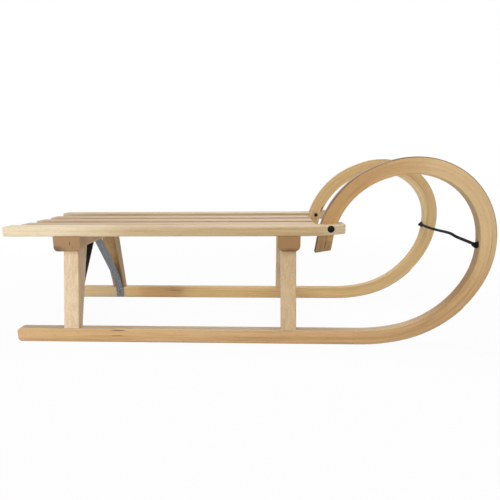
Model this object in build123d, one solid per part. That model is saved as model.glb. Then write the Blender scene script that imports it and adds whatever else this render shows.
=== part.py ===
import os
from math import acos, atan2, cos, degrees, hypot, radians, sin, tan

from build123d import *

# Wooden horned sled. Millimetres, +Z up, +X forward to the horns, +Y to the sled's left.
# The origin lies on the ground, in the middle of the sled's length and width.

# Overall
overall_length = 1091.5  # rear end of the seat to the front of the horns
horn_height = 416.5
seat_height = 269.0
track_width = 344.0  # outer face to outer face of the runners on the ground
overrun = 5.0  # how far a cutting or bounding body reaches past what it meets

# Steel shoes under the runners
shoe_thickness = 2.0
shoe_width = 13.0
shoe_turn = 48.0  # degrees of the bend that the shoe still covers
shoe_heel = 4.0

# Runners, bent up and back into the horns
runner_thickness = 20.0
runner_depth = 32.0
horn_depth = 37.5
runner_rear_inset = 15.5  # behind which the seat overhangs
heel_top_radius = 11.0
heel_foot_radius = 7.0

# Bend of the outer edge: arcs that follow each other, by turn in degrees and relative radius
bend_turns = (13.0, 52.0, 25.0, 10.0, 70.0, 24.0)
bend_radius_shares = (0.970, 0.612, 0.491, 0.491, 0.415, 0.415)
crown_angle = 180.0
back_radius = 279.0
back_turn = 10.0
tail_angle = 260.0  # heading of the horn's straight end, which points down and a little back
stub_drop = 41.0  # horn below the underside of the outer slat
stub_cut = 6.5  # by which the front corner of the horn's end is higher than the rear one

# Growth from the runner's depth to the horn's at each start and end of an arc
growth_shares = (0.0, 0.1, 0.65, 1.0, 1.0, 1.0, 0.5, 0.3, 0.25, 0.25)

# Lean of the horns towards each other, then their sweep in to the outer slats
lean_start = 48.0
lean_angle = 5.4
sweep_inset = 50.0  # behind the front of the horns
sweep_radius = 800.0
slat_cover = 20.0  # wood of the outer slat outside the horn

# Seat slats, spread evenly between the outer two
slat_count = 5
seat_inset = 17.5  # outer slat inside the outer face of the runner
slat_width = 37.0
outer_slat_thickness = 22.0
inner_slat_thickness = 18.0
slat_nose = 15.6  # outer slat in front of the horn
nose_rise = 5.5  # to which the horn draws the outer slat's front end up
nose_middle_share = 0.25
slat_setback = 55.3  # front ends of the inner slats behind those of the outer two
slat_arris = 2.0
slat_corner_radius = 3.0

# Crossbeams under the seat
rear_beam_place = 116.0  # from the rear end of the seat
rear_beam_width = 62.0
rear_beam_radius = 9.0
stub_gap = 34.5  # from the front crossbeam to the end of the horn
front_beam_width = 50.0
front_beam_radius = 13.0
beam_overhang = 0.5  # past the outer slats
beam_depth = 34.0
beam_relief = 6.0  # rise of the underside between the ears
ear_length = 24.0
ear_slope = 18.0
relief_radius = 16.0

# Legs
rear_leg_width = 35.5
rear_leg_setback = 12.5  # leg in front of the rear face of its crossbeam
rear_leg_lag = 9.0  # by which the left leg stands further back than the right one
front_leg_width = 35.0
front_leg_setback = 7.5
front_leg_lag = 4.0
leg_head_inset = 18.0  # leg inside the end of the crossbeam
leg_head_thickness = 44.0
leg_edge_radius = 2.0

# Steel braces, one bent strip under each crossbeam
brace_width = 21.0
brace_thickness = 3.0
brace_landing = 20.0  # half of the flat against the crossbeam
brace_knee_gap = 5.0  # from the inner face of the leg
brace_knee_height = 75.0
brace_foot_drop = 2.0  # bend of the foot below the top of the runner
brace_foot_length = 28.0
brace_bend_radius = 8.0
rear_brace_inset = 0.5  # brace in front of the rear face of the right leg
front_brace_inset = 12.0

# Horn bolts
bolt_rise = 5.0  # above half the thickness of the outer slat
bolt_lead = 4.2  # in front of the middle of the horn
bolt_radius = 3.0
bolt_clearance = 0.2
bolt_head_radius = 7.5
bolt_head_height = 4.0
bolt_dome = 2.5
nut_radius = 6.0
nut_height = 5.0

# Pull cord between the horns
cord_diameter = 7.0
knot_radius = 7.5
knot_length = 13.0
knot_inset = 8.0  # middle of the knot inside the outer face of the horn
knot_bury = 6.0  # how far the knot is drawn into the horn's face
cord_gap = 0.5  # between the cord and the horn's face
cord_height = 229.0
cord_bend_share = 0.45  # of the shorter run beside each bend
cord_places = (
    (-0.6, -110.0, 1.3),
    (0.8, -64.0, 1.3),
    (-0.4, -38.0, 5.9),
    (0.8, 14.0, 2.5),
    (-0.5, 85.0, -0.8),
)  # forward, left and up from the middle between the knots


def place_x(along):
    """Turns a place along the sled, from the rear end of the seat, into X."""
    return along - overall_length / 2


def arc_end(point, heading, turn, radius):
    """End of an arc that turns upward to the left by turn degrees."""
    after = radians(heading + turn)
    before = radians(heading)
    run = radius * (sin(after) - sin(before))
    rise = radius * (cos(before) - cos(after))
    return point[0] + run, point[1] + rise


def inward(point, heading, depth):
    """Point on the concave side of an edge, depth away from it."""
    angle = radians(heading)
    return point[0] - depth * sin(angle), point[1] + depth * cos(angle)


# Radii that bring the crown of the bend to the height of the horns
headings = [0.0]
for turn in bend_turns:
    headings.append(headings[-1] + turn)
crown_headings = [min(heading, crown_angle) for heading in headings]
crown_rise_shares = [
    share * (cos(radians(start)) - cos(radians(end)))
    for share, start, end in zip(bend_radius_shares, crown_headings, crown_headings[1:])
]
bend_scale = (horn_height - shoe_thickness) / sum(crown_rise_shares)
bend_radii = [share * bend_scale for share in bend_radius_shares]

# Stations along the outer edge, first with the bend starting at X zero
stations = [(0.0, shoe_thickness)]
for heading, turn, radius in zip(headings, bend_turns, bend_radii):
    stations.append(arc_end(stations[-1], heading, turn, radius))
front_station = 3
bend_start = place_x(overall_length) - stations[front_station][0]
stations = [(bend_start + x, z) for x, z in stations]
front_x, front_z = stations[front_station]

# Back of the horn, then the tail arc that ends at the underside of the outer slat
slat_bottom = seat_height - outer_slat_thickness
stations.append(arc_end(stations[-1], headings[-1], back_turn, back_radius))
headings.append(headings[-1] + back_turn)
bend_radii.append(back_radius)
tail_turn = tail_angle - headings[-1]
tail_rise = cos(radians(headings[-1])) - cos(radians(tail_angle))
tail_radius = (slat_bottom - stations[-1][1]) / tail_rise
stations.append(arc_end(stations[-1], headings[-1], tail_turn, tail_radius))
headings.append(tail_angle)
bend_radii.append(tail_radius)
tail_run = stub_drop / tan(radians(tail_angle))
stations.append((stations[-1][0] - tail_run, slat_bottom - stub_drop))
headings.append(tail_angle)

# Inner edge: the depth at each station inside the outer edge
depths = [runner_depth + (horn_depth - runner_depth) * share for share in growth_shares]
outer_depths = [0.0 for share in growth_shares]
inner_stations = [
    inward(point, heading, depth) for point, heading, depth in zip(stations, headings, depths)
]
stub_front_z = stations[-1][1] + stub_cut
stub_run = (inner_stations[-2][1] - stub_front_z) / tan(radians(tail_angle))
stub_front = (inner_stations[-2][0] - stub_run, stub_front_z)


def edge_arcs(first, last, edge_depths):
    """Arcs of the bend between two stations, each station's depth inside the outer edge."""
    arcs = []
    for index in range(first, last):
        middle = (headings[index] + headings[index + 1]) / 2
        half_turn = middle - headings[index]
        halfway = arc_end(stations[index], headings[index], half_turn, bend_radii[index])
        middle_depth = (edge_depths[index] + edge_depths[index + 1]) / 2
        points = (
            inward(stations[index], headings[index], edge_depths[index]),
            inward(halfway, middle, middle_depth),
            inward(stations[index + 1], headings[index + 1], edge_depths[index + 1]),
        )
        arcs.append(ThreePointArc(*points))
    return arcs


# Runner and horn in side view: the lower face ends at the front, the upper face starts there
runner_rear = place_x(runner_rear_inset)
runner_top = shoe_thickness + runner_depth
lower_line = Curve() + [
    Line((runner_rear, shoe_thickness), stations[0]),
    *edge_arcs(0, front_station, outer_depths),
    Line(stations[front_station], inner_stations[front_station]),
    *edge_arcs(0, front_station, depths),
    Line(inner_stations[0], (runner_rear, runner_top)),
    Line((runner_rear, runner_top), (runner_rear, shoe_thickness)),
]
last_arc = len(stations) - 2
upper_line = Curve() + [
    Line(inner_stations[front_station], stations[front_station]),
    *edge_arcs(front_station, last_arc, outer_depths),
    Line(stations[-2], stations[-1]),
    Line(stations[-1], stub_front),
    Line(stub_front, inner_stations[-2]),
    *edge_arcs(front_station, last_arc, depths),
]
side_plane = Plane.XZ.offset(-track_width)
lower_face = side_plane * make_face(lower_line)
upper_face = side_plane * make_face(upper_line)
lower_prism = extrude(lower_face, track_width * 2, dir=(0, -1, 0))
upper_prism = extrude(upper_face, track_width * 2, dir=(0, -1, 0))

# Front view: the right runner stands upright, then leans inward up to the front of the horn
outer_y = -track_width / 2
lean_radius = (front_z - lean_start) / sin(radians(lean_angle))
lean_shift = lean_radius * (1 - cos(radians(lean_angle)))
lean_slope = tan(radians(lean_angle))
lean_middle = (
    outer_y + lean_radius * (1 - cos(radians(lean_angle / 2))),
    lean_start + lean_radius * sin(radians(lean_angle / 2)),
)
lean_end = (outer_y + lean_shift, front_z)
lean_past = (lean_end[0] + overrun * lean_slope, front_z + overrun)


def strip_face(lines, plane, shift):
    """Face between a chain of lines and its copy moved by shift."""
    chain = Wire(lines)
    copy = chain.moved(Location((shift[0], shift[1], 0)))
    ends = [Line(chain @ 0, copy @ 0), Line(chain @ 1, copy @ 1)]
    return plane * make_face(chain.edges() + copy.edges() + [end.edge() for end in ends])


lean_lines = [
    Line((outer_y, -overrun), (outer_y, lean_start)),
    ThreePointArc((outer_y, lean_start), lean_middle, lean_end),
    Line(lean_end, lean_past),
]
front_plane = Plane(origin=(runner_rear - overrun, 0, 0), x_dir=(0, 1, 0), z_dir=(1, 0, 0))
lean_slab = extrude(strip_face(lean_lines, front_plane, (runner_thickness, 0)), overall_length + overrun * 2)

# Bolt: through the drawn-up outer slat and the horn, a little in front of the horn's middle
bolt_z = slat_bottom + outer_slat_thickness / 2 + bolt_rise
tail_middle = inward(stations[-2], tail_angle, depths[-2] / 2)
bolt_x = tail_middle[0] + (bolt_z - tail_middle[1]) / tan(radians(tail_angle)) + bolt_lead
seat_width = track_width - seat_inset * 2
slat_outer_y = -seat_width / 2

# Plan view: behind the front the horn sweeps inward to the slat, along the slope of the lean
sweep_start = front_x - sweep_inset
sweep_y = outer_y + lean_shift - front_z * lean_slope
sweep_reach = sweep_start - bolt_x
sweep_need = slat_outer_y + slat_cover - bolt_z * lean_slope - sweep_y
sweep_span = hypot(sweep_reach, sweep_radius - sweep_need)
sweep_turn = atan2(sweep_reach, sweep_radius - sweep_need) - acos(sweep_radius / sweep_span)
sweep_angle = degrees(sweep_turn)
sweep_shift = sweep_radius * (1 - cos(sweep_turn))
sweep_end = (sweep_start - sweep_radius * sin(radians(sweep_angle)), sweep_y + sweep_shift)
sweep_middle = (
    sweep_start - sweep_radius * sin(radians(sweep_angle / 2)),
    sweep_y + sweep_radius * (1 - cos(radians(sweep_angle / 2))),
)
sweep_rest = sweep_end[0] - stations[-1][0] + horn_depth
sweep_past = (sweep_end[0] - sweep_rest, sweep_end[1] + sweep_rest * tan(radians(sweep_angle)))
sweep_lines = [
    Line((front_x + overrun, sweep_y), (sweep_start, sweep_y)),
    ThreePointArc((sweep_start, sweep_y), sweep_middle, sweep_end),
    Line(sweep_end, sweep_past),
]
slab_height = (horn_height + overrun) / cos(radians(lean_angle))
sweep_face = strip_face(sweep_lines, Plane.XY, (0, runner_thickness))
sweep_slab = extrude(sweep_face, slab_height, dir=(0, lean_slope, 1))

runner_right = (lower_prism & lean_slab) + (upper_prism & sweep_slab)
for side_of_heel, radius in ((0, heel_foot_radius), (-1, heel_top_radius)):
    heel_edges = runner_right.edges().filter_by(Axis.Y).group_by(Axis.X)[0]
    runner_right = fillet(heel_edges.group_by(Axis.Z)[side_of_heel], radius)


def horn_face_y(along_x, height):
    """Outer face of the right horn behind its sweep, at a place in side view."""
    return sweep_end[1] + (sweep_end[0] - along_x) * tan(radians(sweep_angle)) + height * lean_slope


# Shoe: a flat strip under the runner, bent with it
shoe_headings = [0.0]
shoe_parts = []
shoe_left = shoe_turn
for index in range(front_station):
    step = min(bend_turns[index], shoe_left)
    if step > 0:
        shoe_headings.append(shoe_headings[-1] + step)
        shoe_left = shoe_left - step


def shoe_arcs(depth):
    """Arcs of the shoe, depth outside the edge of the runner."""
    arcs = []
    point = stations[0]
    for index in range(len(shoe_headings) - 1):
        start = shoe_headings[index]
        turn = shoe_headings[index + 1] - start
        halfway = arc_end(point, start, turn / 2, bend_radii[index])
        finish = arc_end(point, start, turn, bend_radii[index])
        points = (
            inward(point, start, -depth),
            inward(halfway, start + turn / 2, -depth),
            inward(finish, start + turn, -depth),
        )
        arcs.append(ThreePointArc(*points))
        point = finish
    return arcs


shoe_rear = runner_rear + shoe_heel
shoe_upper = shoe_arcs(0.0)
shoe_lower = shoe_arcs(shoe_thickness)
shoe_line = Curve() + [
    Line((shoe_rear, shoe_thickness), shoe_upper[0] @ 0),
    *shoe_upper,
    Line(shoe_upper[-1] @ 1, shoe_lower[-1] @ 1),
    *shoe_lower,
    Line(shoe_lower[0] @ 0, (shoe_rear, 0)),
    Line((shoe_rear, 0), (shoe_rear, shoe_thickness)),
]
shoe_prism = extrude(side_plane * make_face(shoe_line), track_width * 2, dir=(0, -1, 0))
shoe_edge = (runner_thickness - shoe_width) / 2
shoe_lines = [
    Line((outer_y, -overrun), (outer_y, lean_start)),
    ThreePointArc((outer_y, lean_start), lean_middle, lean_end),
]
shoe_strip = strip_face(shoe_lines, front_plane, (shoe_width, 0))
shoe_slab = extrude(shoe_strip, overall_length + overrun * 2).moved(Location((0, shoe_edge, 0)))
shoe_right = shoe_prism & shoe_slab

# Crossbeams: ears over the ends of the legs, the underside relieved between them
beam_bottom = slat_bottom - beam_depth
beam_length = seat_width + beam_overhang * 2
rear_beam_x = place_x(rear_beam_place)
front_beam_x = stations[-1][0] - stub_gap - front_beam_width
relief_out = beam_length / 2 - ear_length
beam_half = [
    (beam_length / 2, slat_bottom),
    (beam_length / 2, beam_bottom),
    (relief_out, beam_bottom),
    (relief_out - ear_slope, beam_bottom + beam_relief),
]
beam_outline = beam_half + [(-y, z) for y, z in reversed(beam_half)]
beam_sketch = make_face(Polyline(*beam_outline, close=True))
inner_reach = relief_out + ear_length / 2
relief_corners = beam_sketch.vertices().filter_by(lambda corner: abs(corner.X) < inner_reach)
beam_sketch = fillet(relief_corners, relief_radius)
beams = {}
for name, beam_x, width, edge_radius in (
    ("crossbeam_rear", rear_beam_x, rear_beam_width, rear_beam_radius),
    ("crossbeam_front", front_beam_x, front_beam_width, front_beam_radius),
):
    beam_plane = Plane(origin=(beam_x, 0, 0), x_dir=(0, 1, 0), z_dir=(1, 0, 0))
    beam = extrude(beam_plane * beam_sketch, width)
    under = beam.edges().filter_by(lambda edge: edge.center().Z < slat_bottom - beam_depth / 2)
    sides = under.filter_by(lambda edge: abs(edge.tangent_at(0.5).X) < 0.5)
    ends = sides.filter_by(lambda edge: abs(edge.tangent_at(0.5).Z) < 0.9)
    beams[name] = fillet(ends, edge_radius)

# Legs: splayed wedges, flush with the outer face of the runner, scribed to the crossbeam
leg_top = beam_bottom + beam_relief + overrun
head_rise = beam_bottom - runner_top
outer_foot = track_width / 2
inner_foot = track_width / 2 - runner_thickness
leg_head_out = beam_length / 2 - leg_head_inset
leg_head_in = leg_head_out - leg_head_thickness
outer_slope = (leg_head_out - outer_foot) / head_rise
inner_slope = (leg_head_in - inner_foot) / head_rise
leg_rise = leg_top - runner_top
leg_outline = [
    (outer_foot, runner_top),
    (outer_foot + outer_slope * leg_rise, leg_top),
    (inner_foot + inner_slope * leg_rise, leg_top),
    (inner_foot, runner_top),
]
leg_sketch = make_face(Polyline(*leg_outline, close=True))
rear_leg_x = rear_beam_x + rear_leg_setback
front_leg_x = front_beam_x + front_leg_setback
legs = {}
for name, leg_x, width, lag, beam_name in (
    ("leg_rear", rear_leg_x, rear_leg_width, rear_leg_lag, "crossbeam_rear"),
    ("leg_front", front_leg_x, front_leg_width, front_leg_lag, "crossbeam_front"),
):
    leg_plane = Plane(origin=(leg_x, 0, 0), x_dir=(0, 1, 0), z_dir=(1, 0, 0))
    leg = extrude(leg_plane * leg_sketch, width)
    corners = leg.edges().filter_by(lambda edge: abs(edge.tangent_at(0.5).Z) > 0.5)
    leg = fillet(corners, leg_edge_radius)
    legs[name + "_left"] = Pos(-lag, 0, 0) * leg - beams[beam_name]
    legs[name + "_right"] = mirror(leg, about=Plane.XZ) - beams[beam_name]

# Braces: strip steel, flat under the crossbeam, bent down to the inner faces of the runners
landing_z = beam_bottom + beam_relief
knee_leg_y = inner_foot + inner_slope * (brace_knee_height - runner_top)
foot_top = runner_top - brace_foot_drop
brace_half = [
    (brace_landing, landing_z),
    (knee_leg_y - brace_knee_gap, brace_knee_height),
    (inner_foot, foot_top),
    (inner_foot, foot_top - brace_foot_length),
]
brace_path = [(-y, z) for y, z in reversed(brace_half)] + brace_half
brace_line = FilletPolyline(*brace_path, radius=brace_bend_radius)
brace_sketch = make_face(offset(brace_line, brace_thickness, side=Side.RIGHT, closed=True))
braces = {}
for name, brace_x in (
    ("brace_rear", rear_leg_x + rear_brace_inset),
    ("brace_front", front_leg_x + front_brace_inset),
):
    brace_plane = Plane(origin=(brace_x, 0, 0), x_dir=(0, 1, 0), z_dir=(1, 0, 0))
    braces[name] = extrude(brace_plane * brace_sketch, brace_width)

# Bolt with a domed head outside the slat and a nut on the inner face of the horn
horn_inner_y = horn_face_y(bolt_x, bolt_z) + runner_thickness
bolt_plane = Plane(origin=(bolt_x, slat_outer_y, bolt_z), z_dir=(0, 1, 0))
nut_tilt = hypot(tan(radians(sweep_angle)), lean_slope)
nut_seat = horn_inner_y - slat_outer_y + nut_tilt * nut_radius
bolt = bolt_plane * Pos(0, 0, -bolt_head_height) * Cylinder(
    bolt_head_radius, bolt_head_height, align=(Align.CENTER, Align.CENTER, Align.MIN)
)
dome_edge = bolt.edges().group_by(Axis.Y)[0]
bolt = chamfer(dome_edge, bolt_dome)
shank_length = nut_seat + nut_height + bolt_radius
bolt = bolt + bolt_plane * Cylinder(
    bolt_radius, shank_length, align=(Align.CENTER, Align.CENTER, Align.MIN)
)
bolt = bolt + bolt_plane * Pos(0, 0, nut_seat) * extrude(
    RegularPolygon(nut_radius, 6), nut_height
)
bolt_hole = bolt_plane * Pos(0, 0, -overrun) * Cylinder(
    bolt_radius + bolt_clearance, shank_length + overrun * 2, align=(Align.CENTER, Align.CENTER, Align.MIN)
)

# Slats, the outer two drawn up in front of the crossbeam and notched for the horns
outer_slat_length = bolt_x + runner_depth / 2 + slat_nose - place_x(0)
inner_slat_length = outer_slat_length - slat_setback
seat_rear = place_x(0)
nose_start = front_beam_x + front_beam_width
nose_end = seat_rear + outer_slat_length
nose_middle = (nose_start + nose_end) / 2


def nose_lines(height):
    """Lower or upper edge of an outer slat in side view, from its rear end to its nose."""
    return [
        Line((seat_rear, height), (nose_start, height)),
        ThreePointArc((nose_start, height), (nose_middle, height + nose_rise * nose_middle_share), (nose_end, height + nose_rise)),
    ]


slat_lines = [
    *nose_lines(slat_bottom),
    Line((nose_end, slat_bottom + nose_rise), (nose_end, seat_height + nose_rise)),
    *nose_lines(seat_height),
    Line((seat_rear, seat_height), (seat_rear, slat_bottom)),
]
outer_slat_face = Plane.XZ * make_face(Curve() + slat_lines)
outer_slat = extrude(outer_slat_face, slat_width / 2, both=True)
slat_pitch = (seat_width - slat_width) / (slat_count - 1)
slats = {}
for number in range(slat_count):
    middle_y = (number - (slat_count - 1) / 2) * slat_pitch
    if number in (0, slat_count - 1):
        slat = Pos(0, middle_y, 0) * outer_slat
    else:
        slat = Pos(seat_rear, middle_y, slat_bottom) * Box(
            inner_slat_length,
            slat_width,
            inner_slat_thickness,
            align=(Align.MIN, Align.CENTER, Align.MIN),
        )
    ends = slat.edges().filter_by(Axis.Y).group_by(Axis.X)
    ends = ends[0] + ends[-1]
    slat = fillet(ends, slat_corner_radius)
    rims = slat.edges().filter_by(lambda edge: abs(edge.center().Y - middle_y) > slat_width / 4)
    slat = chamfer(rims, slat_arris)
    slats[f"seat_slat_{number + 1}"] = slat
first_slat, last_slat = "seat_slat_1", f"seat_slat_{slat_count}"
slats[first_slat] = slats[first_slat] - runner_right - bolt_hole
runner_right = runner_right - bolt_hole
slats[last_slat] = mirror(slats[first_slat], about=Plane.XZ)

# Knots on the concave faces of the horns, and the cord between them
concave_x = front_x - horn_depth
knot_x = concave_x - knot_radius + knot_bury
knot_y = outer_y + lean_shift + knot_inset
knot = Pos(knot_x, knot_y, cord_height) * Cylinder(knot_radius, knot_length, rotation=(90, 0, 0))
knot_right = knot - runner_right
knot_left = mirror(knot_right, about=Plane.XZ)
cord_reach = -knot_y - knot_length / 2 + overrun
cord_x = concave_x - cord_diameter / 2 - cord_gap
cord_route = [(cord_x, -cord_reach, cord_height)]
cord_route += [(cord_x + x, y, cord_height + z) for x, y, z in cord_places]
cord_route.append((cord_x, cord_reach, cord_height))
cord_radii = []
for before, here, after in zip(cord_route, cord_route[1:], cord_route[2:]):
    run_in = Vector(*here) - Vector(*before)
    run_out = Vector(*after) - Vector(*here)
    half_turn = radians(run_in.get_angle(run_out) / 2)
    cord_radii.append(cord_bend_share * min(run_in.length, run_out.length) / tan(half_turn))
cord_line = FilletPolyline(*cord_route, radius=cord_radii)
cord_end = Plane(origin=cord_line @ 0, z_dir=cord_line % 0)
cord_tube = sweep(cord_end * Circle(cord_diameter / 2), path=cord_line)
cord = cord_tube - knot_right - knot_left
print("cord radii", [round(radius, 1) for radius in cord_radii])
print("cord length", round(cord_line.length, 1), "volume", round(cord_tube.volume, 1))

nodes = {
    "runner_right": runner_right,
    "runner_left": mirror(runner_right, about=Plane.XZ),
    "shoe_right": shoe_right,
    "shoe_left": mirror(shoe_right, about=Plane.XZ),
    **beams,
    **legs,
    **braces,
    **slats,
    "horn_bolt_right": bolt,
    "horn_bolt_left": mirror(bolt, about=Plane.XZ),
    "pull_cord": cord,
    "cord_knot_right": knot_right,
    "cord_knot_left": knot_left,
}

os.makedirs("parts", exist_ok=True)
for node, shape in nodes.items():
    export_step(shape, f"parts/{node}.step")
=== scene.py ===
import math

import bmesh
import bpy
from mathutils import Matrix, Vector


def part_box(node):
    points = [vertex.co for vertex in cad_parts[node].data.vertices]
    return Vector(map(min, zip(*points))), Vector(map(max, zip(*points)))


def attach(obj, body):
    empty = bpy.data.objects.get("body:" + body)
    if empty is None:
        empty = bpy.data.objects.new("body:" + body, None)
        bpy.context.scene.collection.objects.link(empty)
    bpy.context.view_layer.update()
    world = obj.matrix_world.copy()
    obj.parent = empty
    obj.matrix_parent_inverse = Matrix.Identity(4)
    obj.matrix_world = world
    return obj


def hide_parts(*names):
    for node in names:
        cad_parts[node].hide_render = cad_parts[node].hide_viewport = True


# Wooden horned sled: finer meshes, screws, materials and a studio round its solids.
# +Z up, +X forward to the horns, +Y to the sled's left. Sizes are in millimetres, which MM
# turns to metres; only the studio is in metres.

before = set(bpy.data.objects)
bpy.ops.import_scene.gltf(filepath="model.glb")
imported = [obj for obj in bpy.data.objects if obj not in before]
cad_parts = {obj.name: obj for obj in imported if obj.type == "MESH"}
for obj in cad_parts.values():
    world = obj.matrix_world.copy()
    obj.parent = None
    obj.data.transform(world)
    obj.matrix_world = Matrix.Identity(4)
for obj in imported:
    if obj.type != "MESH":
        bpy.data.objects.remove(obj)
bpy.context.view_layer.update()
SCENE = bpy.context.scene
MM = 0.001

# Sizes that the pieces below share with the solids
OVERALL_LENGTH = 1091.5
HORN_HEIGHT = 416.5
SEAT_HEIGHT = 269.0
TRACK_WIDTH = 344.0
SEAT_INSET = 17.5  # outer slat inside the outer face of the runner
SLAT_THICKNESS = 22.0
BEAM_DEPTH = 34.0
BEAM_RELIEF = 6.0
BRACE_THICKNESS = 3.0
SLAT_BOTTOM = SEAT_HEIGHT - SLAT_THICKNESS
SLAT_FACE_Y = SEAT_INSET - TRACK_WIDTH / 2
OUTER_Y = -TRACK_WIDTH / 2
SIDES = {"right": 1, "left": -1}  # sign that turns the right side's Y into either side's

# Small helpers


def linear(hex_colour, gain=1.0):
    """sRGB hex to the linear RGBA that the shaders take, times a gain."""
    channels = [int(hex_colour[i:i + 2], 16) / 255 for i in (1, 3, 5)]
    plain = [c / 12.92 if c <= 0.04045 else ((c + 0.055) / 1.055) ** 2.4 for c in channels]
    return [c * gain for c in plain] + [1.0]


def feed(tree, node, inputs):
    """Links the inputs of a node that are given a node or a socket, and sets the others."""
    for name, value in inputs.items():
        if isinstance(value, bpy.types.Node):
            value = next(socket for socket in value.outputs if socket.enabled)
        if isinstance(value, bpy.types.NodeSocket):
            tree.links.new(value, node.inputs[name])
        else:
            node.inputs[name].default_value = value


def add(tree, kind, settings=None, inputs=None):
    """Adds a node with its settings, values and links."""
    made = tree.nodes.new(kind)
    for name, value in (settings or {}).items():
        setattr(made, name, value)
    feed(tree, made, inputs or {})
    return made


# Settings of the Math and Mix nodes; a colour Mix takes its share in 0, its colours in 6 and 7
TIMES = {"operation": "MULTIPLY"}
TIMES_PLUS = {"operation": "MULTIPLY_ADD"}
CLAMPED_MINUS = {"operation": "SUBTRACT", "use_clamp": True}
CLAMPED_TIMES = {"operation": "MULTIPLY", "use_clamp": True}
BLEND = {"data_type": "RGBA"}
SHADE = {"data_type": "RGBA", "blend_type": "MULTIPLY"}


def blank_material(name):
    """A new material with its node tree and Principled shader."""
    material = bpy.data.materials.new(name)
    material.use_nodes = True
    return material, material.node_tree, material.node_tree.nodes["Principled BSDF"]


def mesh_object(name, bm, materials, sharp_degrees=None):
    """Turns a bmesh into a smooth object, its edges past an angle kept sharp."""
    mesh = bpy.data.meshes.new(name)
    bm.normal_update()
    bm.to_mesh(mesh)
    bm.free()
    for material in materials:
        mesh.materials.append(material)
    mesh.shade_smooth()
    if sharp_degrees:
        mesh.set_sharp_from_angle(angle=math.radians(sharp_degrees))
    made = bpy.data.objects.new(name, mesh)
    SCENE.collection.objects.link(made)
    return made


def dress(node, material):
    """Gives a solid's node its material."""
    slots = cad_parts[node].data.materials
    slots.clear()
    slots.append(material)


def stand_in(piece, slot, *nodes):
    """Puts a piece on the sled, in place of the solids' nodes that it is given."""
    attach(piece, "root")
    if nodes:
        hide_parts(*nodes)


def ramp(value, start, end):
    """Share of the way from start to end that a value has gone, from 0 to 1."""
    return max(0.0, min(1.0, (value - start) / (end - start)))


# Camera at the photograph's place: 65 degrees wide, a little above the seat
CAMERA_PLACE = Vector((52.4, -1002.88, 394.63)) * MM
YAW, PITCH, ROLL = -0.0423, 0.2063, -0.0083
FOCAL_PIXELS, FRAME_PIXELS, SENSOR_MM = 390.0, 500.0, 36.0
LENS_SHIFT = (-0.0005, -0.0003)
NEAR_CLIP = 0.01

level = math.cos(PITCH)
forward = Vector((math.sin(YAW) * level, math.cos(YAW) * level, -math.sin(PITCH)))
level_right = forward.cross(Vector((0, 0, 1))).normalized()
level_up = level_right.cross(forward)
right = level_right * math.cos(ROLL) + level_up * math.sin(ROLL)
up = right.cross(forward)
camera_data = bpy.data.cameras.new("camera")
camera_data.sensor_width = SENSOR_MM
camera_data.lens = FOCAL_PIXELS / FRAME_PIXELS * SENSOR_MM
camera_data.shift_x, camera_data.shift_y = LENS_SHIFT
camera_data.clip_start = NEAR_CLIP
camera = bpy.data.objects.new("camera", camera_data)
turned_to_view = Matrix((right, up, -forward)).transposed().to_4x4()
camera.matrix_world = Matrix.Translation(CAMERA_PLACE) @ turned_to_view
SCENE.collection.objects.link(camera)
SCENE.camera = camera

# Patterns that the materials share

SEED_STEPS = (13.7, 7.3, 3.1)  # how far one seed moves a noise along X, Y and Z


def grain_noise(tree, place, size, detail, seed, distortion=0.0):
    """Noise of a size along and across the grain; place is in mm with the grain along X."""
    along, across = size
    scaled = add(tree, "ShaderNodeMapping", inputs={
        "Vector": place,
        "Location": [seed * step for step in SEED_STEPS],
        "Scale": (1 / along, 1 / across, 1 / across)})
    return add(tree, "ShaderNodeTexNoise", inputs={
        "Vector": scaled, "Scale": 1.0, "Detail": detail, "Roughness": 0.55,
        "Distortion": distortion})


def above(tree, value, start, gain):
    """How far a value rises above start, times gain, kept between 0 and 1."""
    over = add(tree, "ShaderNodeMath", CLAMPED_MINUS, {0: value, 1: start})
    return add(tree, "ShaderNodeMath", CLAMPED_TIMES, {0: over, 1: gain})


def mark(tree, place, centre, reach, seed):
    """Mask of one knot, crack, stain or patch of painted light or shade: 1 in its middle, fading
    to 0 at a ragged edge.
    """
    shifted = add(tree, "ShaderNodeMapping", inputs={
        "Vector": place,
        "Location": [-c / r for c, r in zip(centre, reach)],
        "Scale": [1 / r for r in reach]})
    away = add(tree, "ShaderNodeVectorMath", {"operation": "LENGTH"}, {0: shifted})
    wander = grain_noise(tree, shifted, (0.7, 0.7), 3.0, seed)
    ragged = add(tree, "ShaderNodeMath", TIMES_PLUS, {0: wander, 1: 0.9, 2: away})
    return add(tree, "ShaderNodeMapRange", {"interpolation_type": "SMOOTHSTEP"}, {
        "Value": ragged, "From Min": 0.75, "From Max": 1.4, "To Min": 1.0, "To Max": 0.0})


# Beech: planed, or steam-bent and sanded, under clear satin lacquer. To the eye it is a warm
# straight-grained wood with soft bands, short dark ray flecks and browner sawn ends.
# Layers of its figure in mm along and across the grain. Real fibres are much finer; 0.9 mm is
# about as fine as shows.
BROAD_FIGURE, BANDS, FIBRES, RAY_FLECKS = (380.0, 24.0), (260.0, 5.0), (55.0, 0.9), (4.5, 0.5)
END_PORES, BENT_END_PORES = (1.3, 1.3), (0.9, 0.9)
GRAIN_TURNS = {"x": (0, 0, 0), "y": (0, 0, -math.pi / 2), "z": (0, math.pi / 2, 0)}
# Ray fleck colour, then the painted highlight along the slats' arrises
FLECK_SHADE, PAINTED_ARRIS_HIGHLIGHT = "#B08A62", "#FFF2D8"
BACK_PAINTED_SHADE, HOLLOW_PAINTED_SHADE = "#8A6A42", "#968A7C"  # painted shade, multiplied over a bent bar's two edges
PATCH_DARK, END_DARK = 0.86, 0.7  # gain of the darker tone of a mark's colour, real or painted light or shade, and of an end
ARRIS_REACH, EDGE_ROUNDING = 0.0018, 0.001  # metres


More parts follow.
